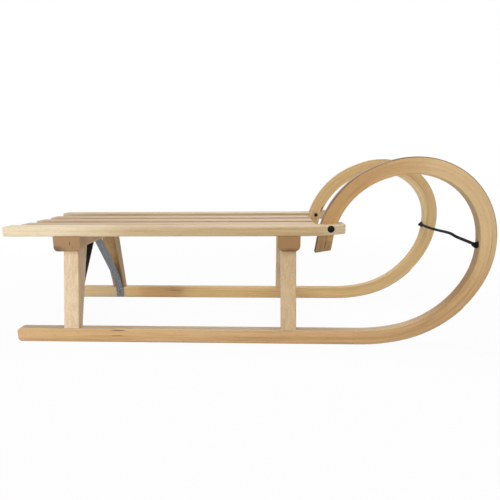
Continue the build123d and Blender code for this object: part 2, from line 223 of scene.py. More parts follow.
def beech(name, grain, pale, dark, end, seed, marks_light_and_shade=(), painted_arris_highlight=0.0):
    """One piece's wood. grain is the sled's axis that it runs along, or "bent" for a bar whose
    mesh holds millimetres along, across and through the wood. Each mark, a real one or a patch of
    painted light or shade, is a centre, a reach, a colour and a strength, in the sled's mm or the
    bar's. painted_arris_highlight is how strongly a highlight is painted along the arrises."""
    material, tree, shader = blank_material(name)
    coordinates = add(tree, "ShaderNodeTexCoord")
    if grain == "bent":
        attribute = add(tree, "ShaderNodeAttribute", {"attribute_name": "grain"})
        wood_mm = place = attribute.outputs["Vector"]
    else:
        wood_mm = add(tree, "ShaderNodeMapping", inputs={
            "Vector": coordinates.outputs["Object"], "Scale": [1 / MM] * 3})
        place = add(tree, "ShaderNodeMapping", inputs={
            "Vector": wood_mm, "Rotation": GRAIN_TURNS[grain]})

    broad = grain_noise(tree, place, BROAD_FIGURE, 2.0, seed)
    bands = grain_noise(tree, place, BANDS, 2.0, seed + 4, distortion=0.4)
    fibres = grain_noise(tree, place, FIBRES, 2.0, seed + 9)
    flecks = grain_noise(tree, place, RAY_FLECKS, 0.0, seed + 15)
    figure = 0.0
    for layer, weight in ((broad, 0.3), (fibres, 0.35), (bands, 0.35)):
        figure = add(tree, "ShaderNodeMath", TIMES_PLUS, {0: layer, 1: weight, 2: figure})
    tone = add(tree, "ShaderNodeMapRange", {"interpolation_type": "SMOOTHSTEP"}, {
        "Value": figure, "From Min": 0.4, "From Max": 0.6})
    colour = add(tree, "ShaderNodeMix", BLEND, {0: tone, 6: linear(dark), 7: linear(pale)})

    patches = []
    for number, (centre, reach, patch_colour, strength) in enumerate(marks_light_and_shade):
        mask = mark(tree, wood_mm, centre, reach, seed + number)
        share = add(tree, "ShaderNodeMath", TIMES, {0: mask, 1: strength})
        patches.append((share, patch_colour))
        stained = add(tree, "ShaderNodeMix", BLEND, {
            0: tone, 6: linear(patch_colour, PATCH_DARK), 7: linear(patch_colour)})
        colour = add(tree, "ShaderNodeMix", BLEND, {0: share, 6: colour, 7: stained})
    speckled = above(tree, flecks, start=0.66, gain=2.6)
    colour = add(tree, "ShaderNodeMix", SHADE, {0: speckled, 6: colour, 7: linear(FLECK_SHADE)})

    if grain == "bent":
        # Painted shade on a bent bar's back and its hollow, by the share that its vertices hold
        for face, shade in (("back", BACK_PAINTED_SHADE), ("hollow", HOLLOW_PAINTED_SHADE)):
            share = add(tree, "ShaderNodeAttribute", {"attribute_name": face}).outputs["Fac"]
            colour = add(tree, "ShaderNodeMix", SHADE, {0: share, 6: colour, 7: linear(shade)})
    else:
        facing = add(tree, "ShaderNodeSeparateXYZ", inputs={0: coordinates.outputs["Normal"]})
        along = facing.outputs["xyz".index(grain)]
        end_on = add(tree, "ShaderNodeMath", {"operation": "ABSOLUTE"}, {0: along})
        pitting = grain_noise(tree, wood_mm, END_PORES, 3.0, seed + 21)
        pores = above(tree, pitting, start=0.5, gain=2.2)
        end_colour = add(tree, "ShaderNodeMix", BLEND, {
            0: pores, 6: linear(end), 7: linear(end, END_DARK)})
        for share, patch_colour in patches:
            end_colour = add(tree, "ShaderNodeMix", BLEND, {
                0: share, 6: end_colour, 7: linear(patch_colour)})
        is_end = above(tree, end_on, start=0.75, gain=6.0)
        colour = add(tree, "ShaderNodeMix", BLEND, {0: is_end, 6: colour, 7: end_colour})
    # Painted highlight: arrises, where the rounded normal turns from the flat one, are painted
    # paler
    if painted_arris_highlight:
        rounded = add(tree, "ShaderNodeBevel", {"samples": 8}, {"Radius": ARRIS_REACH})
        flat = add(tree, "ShaderNodeNewGeometry").outputs["True Normal"]
        alike = add(tree, "ShaderNodeVectorMath", {"operation": "DOT_PRODUCT"}, {
            0: rounded, 1: flat})
        turned_away = add(tree, "ShaderNodeMath", {"operation": "SUBTRACT"}, {0: 1.0, 1: alike})
        highlighted_arris = above(tree, turned_away, start=0.01, gain=16.0)
        share = add(tree, "ShaderNodeMath", TIMES, {0: highlighted_arris, 1: painted_arris_highlight})
        colour = add(tree, "ShaderNodeMix", BLEND, {0: share, 6: colour, 7: linear(PAINTED_ARRIS_HIGHLIGHT)})

    fine = add(tree, "ShaderNodeMath", TIMES, {0: fibres, 1: 0.4})
    height = add(tree, "ShaderNodeMath", TIMES_PLUS, {0: bands, 1: 0.6, 2: fine})
    bump = add(tree, "ShaderNodeBump", inputs={
        "Height": height, "Strength": 0.12, "Distance": 0.6 * MM})
    if grain != "bent":
        rounded = add(tree, "ShaderNodeBevel", {"samples": 4}, {"Radius": EDGE_ROUNDING})
        feed(tree, bump, {"Normal": rounded})
    satin = add(tree, "ShaderNodeMath", TIMES_PLUS, {0: broad, 1: 0.16, 2: 0.36})
    feed(tree, shader, {"Base Color": colour, "Normal": bump, "Roughness": satin})
    return material


def end_grain(name, tone, seed):
    """Sawn end of a bent bar, unlacquered: curved growth lines and dark pores."""
    material, tree, shader = blank_material(name)
    place = add(tree, "ShaderNodeAttribute", {"attribute_name": "grain"}).outputs["Vector"]
    off_heart = add(tree, "ShaderNodeMapping", inputs={
        "Vector": place, "Location": (0, 60.0 + seed, 25.0)})
    rings = add(tree, "ShaderNodeTexWave", {"wave_type": "RINGS", "rings_direction": "X"}, {
        "Vector": off_heart, "Scale": 0.16, "Distortion": 1.2, "Detail": 2.0})
    late_wood = add(tree, "ShaderNodeMath", TIMES, {0: rings.outputs["Fac"], 1: 0.45})
    ringed = add(tree, "ShaderNodeMix", BLEND, {
        0: late_wood, 6: linear(tone), 7: linear(tone, END_DARK)})
    pitting = grain_noise(tree, place, BENT_END_PORES, 3.0, seed)
    pores = above(tree, pitting, start=0.52, gain=2.0)
    colour = add(tree, "ShaderNodeMix", BLEND, {0: pores, 6: ringed, 7: linear(tone, 0.6)})
    feed(tree, shader, {"Base Color": colour, "Roughness": 0.6})
    return material


def strip_steel(name, base, rough, metallic, mottle_mm, spread=(0.75, 1.25), relief=0.25,
                painted_shade_up=None, specular=0.5):
    """Steel strip or head with the mottle of its mill, its wear or its hammered enamel. A colour
    given for faces turned up is painted on them as shade."""
    material, tree, shader = blank_material(name)
    coordinates = add(tree, "ShaderNodeTexCoord")
    mottle = add(tree, "ShaderNodeTexNoise", inputs={
        "Vector": coordinates.outputs["Object"], "Scale": 1 / (mottle_mm * MM), "Detail": 4.0})
    contrast = add(tree, "ShaderNodeMapRange", inputs={
        "Value": mottle, "From Min": 0.32, "From Max": 0.68})
    low, high = (linear(base, gain) for gain in spread)
    colour = add(tree, "ShaderNodeMix", BLEND, {0: contrast, 6: low, 7: high})
    # Painted shade: faces turned up take the darker colour
    if painted_shade_up:
        facing = add(tree, "ShaderNodeSeparateXYZ", inputs={0: coordinates.outputs["Normal"]})
        shaded_up_share = above(tree, facing.outputs["Z"], start=0.05, gain=10.0)
        colour = add(tree, "ShaderNodeMix", BLEND, {0: shaded_up_share, 6: colour, 7: linear(painted_shade_up)})
    roughness = add(tree, "ShaderNodeMath", TIMES_PLUS, {0: mottle, 1: 0.25, 2: rough - 0.12})
    rounded = add(tree, "ShaderNodeBevel", {"samples": 4}, {"Radius": 0.6 * MM})
    bump = add(tree, "ShaderNodeBump", inputs={
        "Height": mottle, "Strength": relief, "Distance": 0.4 * MM, "Normal": rounded})
    feed(tree, shader, {
        "Base Color": colour, "Roughness": roughness, "Normal": bump, "Metallic": metallic,
        "Specular IOR Level": specular})
    return material


PLAITS_ROUND = 8


def braided_cord(name, base, painted_sheen, length, plait_length):
    """Braided polypropylene cord: diamond plaits, black, with a dull broken sheen painted on the
    crests of its plaits.
    """
    material, tree, shader = blank_material(name)
    surface = add(tree, "ShaderNodeTexCoord").outputs["UV"]
    spot = add(tree, "ShaderNodeSeparateXYZ", inputs={0: surface})
    plaits_along = round(length / plait_length)
    run = add(tree, "ShaderNodeMath", TIMES, {0: spot.outputs["X"], 1: plaits_along * math.pi})
    turn = add(tree, "ShaderNodeMath", TIMES, {0: spot.outputs["Y"], 1: PLAITS_ROUND * math.pi})
    strands = []
    for lay in ("ADD", "SUBTRACT"):
        crossing = add(tree, "ShaderNodeMath", {"operation": lay}, {0: run, 1: turn})
        wave = add(tree, "ShaderNodeMath", {"operation": "SINE"}, {0: crossing})
        strands.append(add(tree, "ShaderNodeMath", {"operation": "ABSOLUTE"}, {0: wave}))
    weave = add(tree, "ShaderNodeMath", TIMES, {0: strands[0], 1: strands[1]})
    # Painted sheen: the crests of the plaits take the lighter colour
    colour = add(tree, "ShaderNodeMix", BLEND, {0: weave, 6: linear(base), 7: linear(painted_sheen)})
    bump = add(tree, "ShaderNodeBump", inputs={
        "Height": weave, "Strength": 0.7, "Distance": 0.6 * MM})
    feed(tree, shader, {
        "Base Color": colour, "Normal": bump, "Roughness": 0.6, "Specular IOR Level": 0.1})
    return material


# Tones: pale and dark wood of a face, and its end grain
BENT_RIGHT = dict(pale="#E0B883", dark="#C49A65", end="#96724A")
BENT_LEFT = dict(pale="#F2CF95", dark="#D9B47B", end="#A07B50")
SLAT_NEAR = dict(pale="#D2B78B", dark="#C2A272", end="#B4936A")
SLAT_INNER = dict(pale="#D0B38F", dark="#BD9C78", end="#A58361")
SLAT_FAR = dict(pale="#D8C49E", dark="#C9B088", end="#B4936A")
LEG_PALE = dict(pale="#EFD6B0", dark="#DBBC92", end="#B08C64")
LEG_TAN = dict(pale="#E0C498", dark="#CFB085", end="#B08C64")
# Far rear leg: darker, browner tones as painted shade under the seat
LEG_PAINTED_SHADE = dict(pale="#C8A470", dark="#AC8550", end="#A07B50")
BEAM = dict(pale="#C9A476", dark="#B58F62", end="#A67D4E")

# Hammered grey enamel mottled by its dimples, its faces turned up near black as painted shade;
# bright rolled strip with a broad soft mottle; blackened steel, near black with a small gleam;
# and the matt dark inside of a screw's slot
enamel_with_painted_shade = strip_steel(
    "hammered_enamel_steel", "#757B82", 0.4, 0.35, 3.5, (0.45, 1.5), 0.6, painted_shade_up="#17181A")
shoe_steel = strip_steel("rolled_shoe_steel", "#7C7870", 0.42, 1.0, 9.0)
black_steel = strip_steel("blackened_steel", "#060607", 0.34, 0.0, 3.0, specular=0.14)
slot_dark = strip_steel("screw_slot", "#1E1D1C", 0.8, 0.0, 3.0)

# Lengths of cord between the knots and in one knot, where its plaits are drawn tighter
CORD_LENGTH, PLAIT_LENGTH = 307.0, 2.8
KNOT_LENGTH, KNOT_PLAIT_LENGTH = 50.0, 1.9
cord_black = braided_cord("braided_cord_black", "#030304", "#141416", CORD_LENGTH, PLAIT_LENGTH)
knot_black = braided_cord(
    "braided_knot_black", "#030304", "#1A1A1C", KNOT_LENGTH, KNOT_PLAIT_LENGTH)

# Runners: one bent bar each side, its arrises rounded, its grain along the bend

RUNNER_WIDTH, RUNNER_DEPTH, HORN_DEPTH = 20.0, 32.0, 37.5
RUNNER_REAR = 15.5 - OVERALL_LENGTH / 2  # the seat overhangs it by 15.5
SOLE = 2.0  # thickness of the shoe under it
HEEL_TOP, HEEL_FOOT, HEEL_SIDE = 11.0, 7.0, 2.0  # radii at its rear end

# Outer edge in side view: arcs by turn in degrees and relative radius, then the back and tail
BEND_TURNS = (13.0, 52.0, 25.0, 10.0, 70.0, 24.0)
BEND_RADIUS_SHARES = (0.970, 0.612, 0.491, 0.491, 0.415, 0.415)
FRONT_STATION, CROWN_ANGLE = 3, 180.0
BACK_TURN, BACK_RADIUS = 10.0, 279.0
TAIL_ANGLE = 260.0
STUB_DROP, STUB_CUT, STUB_EDGE = 41.0, 6.5, 0.8  # length below the slat, slant, edge radius
GROWTH_SHARES = (0.0, 0.1, 0.65, 1.0, 1.0, 1.0, 0.5, 0.3, 0.25)  # from runner to horn depth

# Lean of the horns towards each other, then their sweep in to the outer slats and bolts
LEAN_START, LEAN_ANGLE = 48.0, math.radians(5.4)
SWEEP_INSET, SWEEP_RADIUS, SLAT_COVER = 50.0, 800.0, 20.0
BOLT_RISE, BOLT_LEAD = 5.0, 4.2  # above the slat's middle, in front of the horn's middle

# Arris radii, and the headings in degrees between which one gives way to the next
ARRIS, HORN_ARRIS, SLAT_ARRIS = 1.6, 2.8, 1.0
HORN_ARRIS_TURN, SLAT_ARRIS_TURN = (30.0, 70.0), (236.0, 248.0)
HOLLOW_PAINTED_SHADE_SPAN = (350.0, 480.0)  # along X, where painted shade darkens the hollow of the horn

# Places of the rings of vertices, and how an arris is drawn
HEEL_STEPS = (0.0, 0.4, 1.0, 1.9, 3.0, 4.5, 6.5, 9.0, 12.0)
STRAIGHT_RUNGS, ARC_SPACING, ARRIS_STEPS = 40, 5.0, 4
STUB_SHARES = (0.2, 0.4, 0.6, 0.8, 0.96, 0.98, 0.99, 1.0)
ARRIS_HOLD = 0.8  # flat beside an arris that keeps its shading off the faces


def arc_end(point, heading, turn, radius):
    """End of an arc of the outer edge that turns upward by turn degrees."""
    before, after = math.radians(heading), math.radians(heading + turn)
    run = radius * (math.sin(after) - math.sin(before))
    rise = radius * (math.cos(before) - math.cos(after))
    return point[0] + run, point[1] + rise


def inward(point, heading, depth):
    """Point on the hollow side of an edge, depth away from it."""
    angle = math.radians(heading)
    return point[0] - depth * math.sin(angle), point[1] + depth * math.cos(angle)


# Stations where one arc meets the next; the radii bring the crown to the height of the horns
headings = [0.0]
for turn in BEND_TURNS:
    headings.append(headings[-1] + turn)
cosines = [math.cos(math.radians(min(heading, CROWN_ANGLE))) for heading in headings]
crown_rise = sum(
    share * (start - end) for share, start, end in zip(BEND_RADIUS_SHARES, cosines, cosines[1:]))
radii = [share * (HORN_HEIGHT - SOLE) / crown_rise for share in BEND_RADIUS_SHARES]
stations = [(0.0, SOLE)]
for heading, turn, radius in zip(headings, BEND_TURNS, radii):
    stations.append(arc_end(stations[-1], heading, turn, radius))
front_x = OVERALL_LENGTH / 2
bend_start = front_x - stations[FRONT_STATION][0]
stations = [(bend_start + x, z) for x, z in stations]
front_z = stations[FRONT_STATION][1]

stations.append(arc_end(stations[-1], headings[-1], BACK_TURN, BACK_RADIUS))
headings.append(headings[-1] + BACK_TURN)
tail_turn = TAIL_ANGLE - headings[-1]
tail_rise = math.cos(math.radians(headings[-1])) - math.cos(math.radians(TAIL_ANGLE))
tail_radius = (SLAT_BOTTOM - stations[-1][1]) / tail_rise
stations.append(arc_end(stations[-1], headings[-1], tail_turn, tail_radius))
headings.append(TAIL_ANGLE)
radii += [BACK_RADIUS, tail_radius]
depths = [RUNNER_DEPTH + (HORN_DEPTH - RUNNER_DEPTH) * share for share in GROWTH_SHARES]

# Straight end of the horn below the slat, and the bolt that holds it there
tail_slope = math.tan(math.radians(TAIL_ANGLE))
tail_inner = inward(stations[-1], TAIL_ANGLE, depths[-1])
tail_middle = inward(stations[-1], TAIL_ANGLE, depths[-1] / 2)
stub_end = (stations[-1][0] - STUB_DROP / tail_slope, SLAT_BOTTOM - STUB_DROP)
stub_front_z = stub_end[1] + STUB_CUT
stub_front = (tail_inner[0] + (stub_front_z - tail_inner[1]) / tail_slope, stub_front_z)
bolt_z = SLAT_BOTTOM + SLAT_THICKNESS / 2 + BOLT_RISE
bolt_x = tail_middle[0] + (bolt_z - tail_middle[1]) / tail_slope + BOLT_LEAD

# Front view and plan of the right runner's outer face
lean_slope = math.tan(LEAN_ANGLE)
lean_radius = (front_z - LEAN_START) / math.sin(LEAN_ANGLE)
lean_shift = lean_radius * (1 - math.cos(LEAN_ANGLE))
sweep_start = front_x - SWEEP_INSET
sweep_y = OUTER_Y + lean_shift - front_z * lean_slope
sweep_reach = sweep_start - bolt_x
sweep_side = SWEEP_RADIUS - (SLAT_FACE_Y + SLAT_COVER - bolt_z * lean_slope - sweep_y)
sweep_turn = math.atan2(sweep_reach, sweep_side) - math.acos(
    SWEEP_RADIUS / math.hypot(sweep_reach, sweep_side))
sweep_end_x = sweep_start - SWEEP_RADIUS * math.sin(sweep_turn)
sweep_end_y = sweep_y + SWEEP_RADIUS * (1 - math.cos(sweep_turn))


def runner_face_y(x, z, is_upper):
    """Outer face of the right runner at a place in side view."""
    if not is_upper:
        rise = max(0.0, z - LEAN_START)
        return OUTER_Y + lean_radius - math.sqrt(lean_radius ** 2 - rise ** 2)
    if x > sweep_start:
        swept = sweep_y
    elif x > sweep_end_x:
        swept = sweep_y + SWEEP_RADIUS - math.sqrt(SWEEP_RADIUS ** 2 - (sweep_start - x) ** 2)
    else:
        swept = sweep_end_y + (sweep_end_x - x) * math.tan(sweep_turn)
    return swept + z * lean_slope


def rounding(radius, away):
    """How far a rounded corner has drawn back, at a distance from the end that it rounds."""
    return radius - math.sqrt(radius ** 2 - max(0.0, radius - away) ** 2)


def runner_rungs():
    """Rungs from the outer to the inner edge, from the heel round to the horn's end: the two
    points, the arris, how far the section shrinks there, and whether it is the swept part."""
    rungs = []
    reach = bend_start - RUNNER_REAR
    evenly = [reach * step / STRAIGHT_RUNGS for step in range(1, STRAIGHT_RUNGS + 1)]
    for away in (*HEEL_STEPS, *evenly):
        x = RUNNER_REAR + away
        foot = (x, SOLE + rounding(HEEL_FOOT, away))
        top = (x, SOLE + RUNNER_DEPTH - rounding(HEEL_TOP, away))
        rungs.append((foot, top, ARRIS, rounding(HEEL_SIDE, away), False))
    arcs = zip(stations, headings, headings[1:], radii, depths, depths[1:])
    for start, heading, end_heading, radius, depth, end_depth in arcs:
        turn = end_heading - heading
        count = max(3, round(math.radians(turn) * radius / ARC_SPACING))
        for step in range(1, count + 1):
            gone = turn * step / count
            outer = arc_end(start, heading, gone, radius)
            here = depth + (end_depth - depth) * step / count
            inner = inward(outer, heading + gone, here)
            horn_share = ramp(heading + gone, *HORN_ARRIS_TURN)
            slat_share = ramp(heading + gone, *SLAT_ARRIS_TURN)
            arris = ARRIS + (HORN_ARRIS - ARRIS) * horn_share
            arris += (SLAT_ARRIS - arris) * slat_share
            is_upper = heading + gone > headings[FRONT_STATION] + 0.05
            rungs.append((outer, inner, arris, 0.0, is_upper))
    edge_starts = (rungs[-1][0], rungs[-1][1])
    for share in STUB_SHARES:
        outer, inner = (
            tuple(a + (b - a) * share for a, b in zip(start, end))
            for start, end in zip(edge_starts, (stub_end, stub_front)))
        shrink = rounding(STUB_EDGE, (1.0 - share) * STUB_DROP)
        rungs.append((outer, inner, SLAT_ARRIS, shrink, True))
    return rungs


def rounded_section(depth, width, arris, shrink):
    """Outline of the bar across its grain, as depth and width places, going round once."""
    radius = max(0.3, arris - shrink)
    hold = min(ARRIS_HOLD, width / 2 - shrink - radius)
    near, far_deep, far_wide = shrink + radius, depth - shrink - radius, width - shrink - radius
    outline = []
    for deep, wide, turn in (
        (near, near, 180),
        (far_deep, near, 270),
        (far_deep, far_wide, 0),
        (near, far_wide, 90),
    ):
        arc = []
        for step in range(ARRIS_STEPS + 1):
            angle = math.radians(turn + 90 * step / ARRIS_STEPS)
            arc.append((deep + radius * math.cos(angle), wide + radius * math.sin(angle)))
        way_x, way_y = math.cos(math.radians(turn)), math.sin(math.radians(turn))
        outline.append((arc[0][0] + way_y * hold, arc[0][1] - way_x * hold))
        outline += arc
        outline.append((arc[-1][0] - way_x * hold, arc[-1][1] - way_y * hold))
    return outline


def bent_runner(side, material, end_material, back_painted_shade, hollow_painted_shade):
    """Runner and horn of one side as a single bent bar. Its vertices hold millimetres along,
    across and through the wood, and how dark the painted shade on its back and its hollow is
    there."""
    bm = bmesh.new()
    grain = bm.verts.layers.float_vector.new("grain")
    for name in ("back", "hollow"):
        bm.verts.layers.float.new(name)
    back, hollow = bm.verts.layers.float["back"], bm.verts.layers.float["hollow"]
    rings = []
    along = 0.0
    last = None
    for outer, inner, arris, shrink, is_upper in runner_rungs():
        outer_at, inner_at = Vector(outer), Vector(inner)
        middle = (outer_at + inner_at) / 2
        along += (middle - last).length if last else 0.0
        last = middle
        depth = (inner_at - outer_at).length
        ring = []
        for deep, wide in rounded_section(depth, RUNNER_WIDTH, arris, shrink):
            x, z = outer_at.lerp(inner_at, deep / depth)
            y = runner_face_y(x, z, is_upper) + wide
            vert = bm.verts.new(Vector((x, SIDES[side] * y, z)) * MM)
            vert[grain] = (along, deep - depth / 2, wide - RUNNER_WIDTH / 2)
            is_back = is_upper and deep < arris * 0.8
            is_hollow = deep > depth - arris * 0.8
            # Painted shade: the back arris of the horn and its hollow face hold how dark they are
            # painted
            vert[back] = back_painted_shade * is_back
            vert[hollow] = hollow_painted_shade * is_hollow * ramp(x, *HOLLOW_PAINTED_SHADE_SPAN)
            ring.append(vert)
        rings.append(ring)
    for first, second in zip(rings, rings[1:]):
        for index in range(len(first)):
            after = (index + 1) % len(first)
            bm.faces.new((first[index], first[after], second[after], second[index]))
    for ring in (rings[0], rings[-1]):
        bm.faces.new(ring).material_index = 1
    bmesh.ops.recalc_face_normals(bm, faces=bm.faces)
    return mesh_object(f"bent_runner_{side}", bm, [material, end_material])


# Marks in each runner, among them painted light, shade and reflection: centre and reach in mm
#  along the bar from its heel, from its middle towards the hollow, and from its middle inward;
#  then colour and strength
ALL_ROUND = 400.0
RIGHT_MARKS_LIGHT_AND_SHADE = (
    ((1285.0, 0.0, 0.0), (250.0, ALL_ROUND, ALL_ROUND), "#F0CD98", 0.95),  # pale crown: painted light
    ((1660.0, 0.0, 0.0), (230.0, ALL_ROUND, ALL_ROUND), "#CC9F63", 0.9),  # browner tail
    ((1716.0, 0.0, 0.0), (34.0, ALL_ROUND, ALL_ROUND), "#9B7849", 0.95),  # brown end: browner wood, and painted shade under the slat
    ((240.0, 12.3, -10.0), (24.0, 1.7, 3.0), "#4E3018", 0.9),  # dark streaks by the rear leg
    ((238.0, -1.0, -10.0), (22.0, 1.3, 3.0), "#7E5730", 0.8),
    ((1705.0, 2.0, -10.0), (26.0, 1.1, 6.0), "#3A2411", 0.9),  # cracks in the end
    ((1716.0, 9.5, -10.0), (16.0, 0.9, 6.0), "#5A3C20", 0.8),
    ((1712.0, -7.5, -10.0), (20.0, 1.0, 6.0), "#6A4826", 0.7),
    ((1560.0, 6.0, -10.0), (60.0, 1.0, 4.0), "#A37A47", 0.7),  # darker streaks
    ((1150.0, -7.0, -10.0), (90.0, 1.1, 4.0), "#B58A55", 0.7),
    ((960.0, 4.0, -10.0), (80.0, 1.0, 4.0), "#B2854F", 0.7),
    ((560.0, -3.0, -10.0), (70.0, 0.9, 4.0), "#A87C48", 0.7),
    ((380.0, 17.0, 0.0), (760.0, 4.0, ALL_ROUND), "#E0CBA8", 0.85),  # greyer top face: painted reflection of the white studio at a grazing angle
)
LEFT_MARKS_LIGHT_AND_SHADE = (
    ((60.0, 0.0, 0.0), (130.0, ALL_ROUND, ALL_ROUND), "#F0D09C", 0.9),  # pale heel
    ((260.0, 0.0, 0.0), (110.0, ALL_ROUND, ALL_ROUND), "#D0A66D", 0.8),  # browner stretch: painted shadow, partly of the near rear leg
    ((300.0, 6.0, 10.0), (38.0, 1.5, 4.0), "#6E4C28", 0.9),  # dark streak
    ((1645.0, 13.0, 10.0), (16.0, 2.2, 5.0), "#4A2F18", 0.9),  # crack above the slat
    ((1000.0, -5.0, 10.0), (90.0, 1.1, 4.0), "#B58F57", 0.7),  # darker streaks
    ((1330.0, 4.0, 10.0), (70.0, 1.1, 4.0), "#B58F57", 0.7),
    ((1270.0, 17.0, 0.0), (160.0, 12.0, ALL_ROUND), "#FFE2AC", 0.9),  # pale hollow: painted light
)

# Each side with its tones, its seed, its marks and how dark the painted shade on its back and its
# hollow is
for side, tone, seed, marks_light_and_shade, painted_shades in (
    ("right", BENT_RIGHT, 1.0, RIGHT_MARKS_LIGHT_AND_SHADE, (0.85, 0.65)),
    ("left", BENT_LEFT, 5.0, LEFT_MARKS_LIGHT_AND_SHADE, (0.3, 0.0)),
):
    bar = beech(f"bent_beech_{side}", "bent", seed=seed, marks_light_and_shade=marks_light_and_shade, **tone)
    sawn = end_grain(f"bent_end_{side}", tone["end"], seed)
    stand_in(bent_runner(side, bar, sawn, *painted_shades), "bent_beech", f"runner_{side}")
    dress(f"shoe_{side}", shoe_steel)

# Legs, braces and crossbeams; the rear crossbeam's right end shows two small knots, and painted
#  shade darkens both right ends below
LEGS = (
    ("rear_right", LEG_PALE),
    ("front_right", LEG_TAN),
    # painted shade under the seat
    ("rear_left", LEG_PAINTED_SHADE),
    ("front_left", LEG_PALE),
)
BEAM_MARKS_AND_SHADE = {
    "rear": (
        ((-392.0, -155.0, 231.0), (1.8, 8.0, 5.5), "#3F2412", 0.9),
        ((-376.0, -155.0, 214.5), (3.0, 8.0, 2.4), "#4A2C17", 0.85),
        # painted shade at the lower left of the end
        ((-428.0, -155.0, 211.0), (34.0, 16.0, 22.0), "#54391F", 0.9),
        ((-386.7, -155.0, 222.3), (1.0, 8.0, 9.0), "#5A3A1E", 0.6),
    ),
    # front end: painted shade at its bottom
    "front": (((106.0, -155.0, 208.0), (44.0, 16.0, 18.0), "#5E4126", 0.85),),
}
LEG_SEED, BEAM_SEED, SLAT_SEED, SEED_GAP = 11.0, 24.0, 30.0, 3.0
for number, (place, tone) in enumerate(LEGS):
    wood = beech(f"leg_beech_{place}", "z", seed=LEG_SEED + number * SEED_GAP, **tone)
    dress(f"leg_{place}", wood)
for number, (end, marks_light_and_shade) in enumerate(BEAM_MARKS_AND_SHADE.items()):
    wood = beech(f"beam_beech_{end}", "y", seed=BEAM_SEED + number, marks_light_and_shade=marks_light_and_shade, **BEAM)
    dress(f"crossbeam_{end}", wood)
    dress(f"brace_{end}", enamel_with_painted_shade)

# Slats from right to left: the right one is palest at its two ends, at its rear end as painted
# light
NEAR_SLAT_PALE_ENDS = (
    # rear end: painted light
    ((-560.0, -136.0, 258.0), (430.0, 300.0, 300.0), "#F6E2BC", 0.95),
    ((222.0, -136.0, 258.0), (60.0, 300.0, 300.0), "#DCC9A4", 0.8),
)
SLATS = (
    (SLAT_NEAR, NEAR_SLAT_PALE_ENDS),
    (SLAT_INNER, ()),
    (SLAT_INNER, ()),
    (SLAT_INNER, ()),
    (SLAT_FAR, ()),
)
for number, (tone, marks_light_and_shade) in enumerate(SLATS, start=1):
    seed = SLAT_SEED + number * SEED_GAP
    wood = beech(f"slat_beech_{number}", "x", seed=seed, marks_light_and_shade=marks_light_and_shade, painted_arris_highlight=0.6, **tone)
    dress(f"seat_slat_{number}", wood)

# Bolts, screws, knots and cord


def turned(bm, profile, segments, seat):
    """Lathes a profile of radius and height in mm about the local Z axis of its seat."""
    rings = []
    for radius, height in profile:
        turns = [math.tau * k / segments for k in range(segments if radius > 0 else 1)]
        rings.append([bm.verts.new(seat @ (Vector((
            radius * math.cos(turn), radius * math.sin(turn), height)) * MM)) for turn in turns])
    for first, second in zip(rings, rings[1:]):
        for k in range(segments):
            after = (k + 1) % segments
            corners = [first[k % len(first)], first[after % len(first)],
                       second[after % len(second)], second[k % len(second)]]
            bm.faces.new(dict.fromkeys(corners))


# Bolt: radius and height of each turned part, outward from the slat or from the horn
ROUND, HEX, FINE_ROUND = 40, 6, 24
HEAD_WASHER = ((7.6, 0.0), (7.6, 1.1), (7.1, 1.5), (5.0, 1.5))
HEAD_HEX = ((5.9, 1.4), (5.9, 3.4), (5.2, 4.1))
DOME_RADIUS, DOME_FOOT, DOME_RISE = 5.0, 3.9, 2.2
DOME_ANGLES = (0, 0.4, 0.8, 1.15, 1.4)
NUT_HEX = ((4.8, -0.6), (5.2, 0.2), (5.2, 5.2), (4.7, 6.0), (3.1, 6.0))
BOLT_TIP = ((3.0, 1.0), (3.0, 8.4), (2.5, 9.0), (0, 9.0))
dome = [
    (DOME_RADIUS * math.cos(angle), DOME_FOOT + DOME_RISE * math.sin(angle))
    for angle in DOME_ANGLES
] + [(0, DOME_FOOT + DOME_RISE)]


def horn_bolt(side):
    """Cap head on a washer outside the slat; nut and bolt's tip on the horn's inner face."""
    sign = SIDES[side]
    inner_y = runner_face_y(bolt_x, bolt_z, True) + RUNNER_WIDTH
    head, nut = (
        Matrix.Translation(Vector((bolt_x, sign * y, bolt_z)) * MM)
        @ Matrix.Rotation(math.radians(90 * sign * way), 4, "X")
        for y, way in ((SLAT_FACE_Y, 1), (inner_y, -1)))
    bm = bmesh.new()
    for profile, segments, seat in (
        (HEAD_WASHER, ROUND, head),
        (HEAD_HEX, HEX, head),
        (dome, ROUND, head),
        (NUT_HEX, HEX, nut),
        (BOLT_TIP, FINE_ROUND, nut),
    ):
        turned(bm, profile, segments, seat)
    bmesh.ops.recalc_face_normals(bm, faces=bm.faces)
    return mesh_object(f"cap_bolt_{side}", bm, [black_steel], sharp_degrees=28)


def slotted_screw(bm, place, outward, radius, proud, slot_angle):
    """Countersunk head let into the surface, its crown proud by a hair, with a slot."""
    turn = Vector((0, 0, 1)).rotation_difference(Vector(outward)).to_matrix().to_4x4()
    spin = Matrix.Rotation(slot_angle, 4, "Z")
    seat = Matrix.Translation(Vector(place) * MM) @ turn @ spin
    turned(bm, (
        (radius, -0.6),
        (radius, proud * 0.3),
        (radius * 0.8, proud * 0.8),
        (radius * 0.4, proud),
        (0, proud),
    ), FINE_ROUND, seat)
    half_length, half_width = radius * 0.8, 0.4
    low, high = (
        [bm.verts.new(seat @ (Vector((x * half_length, y * half_width, height)) * MM))
         for x, y in ((-1, -1), (1, -1), (1, 1), (-1, 1))]
        for height in (proud * 0.6, proud + 0.05))
    bm.faces.new(high).material_index = 1
    for k in range(4):
        after = (k + 1) % 4
        bm.faces.new((low[k], low[after], high[after], high[k])).material_index = 1


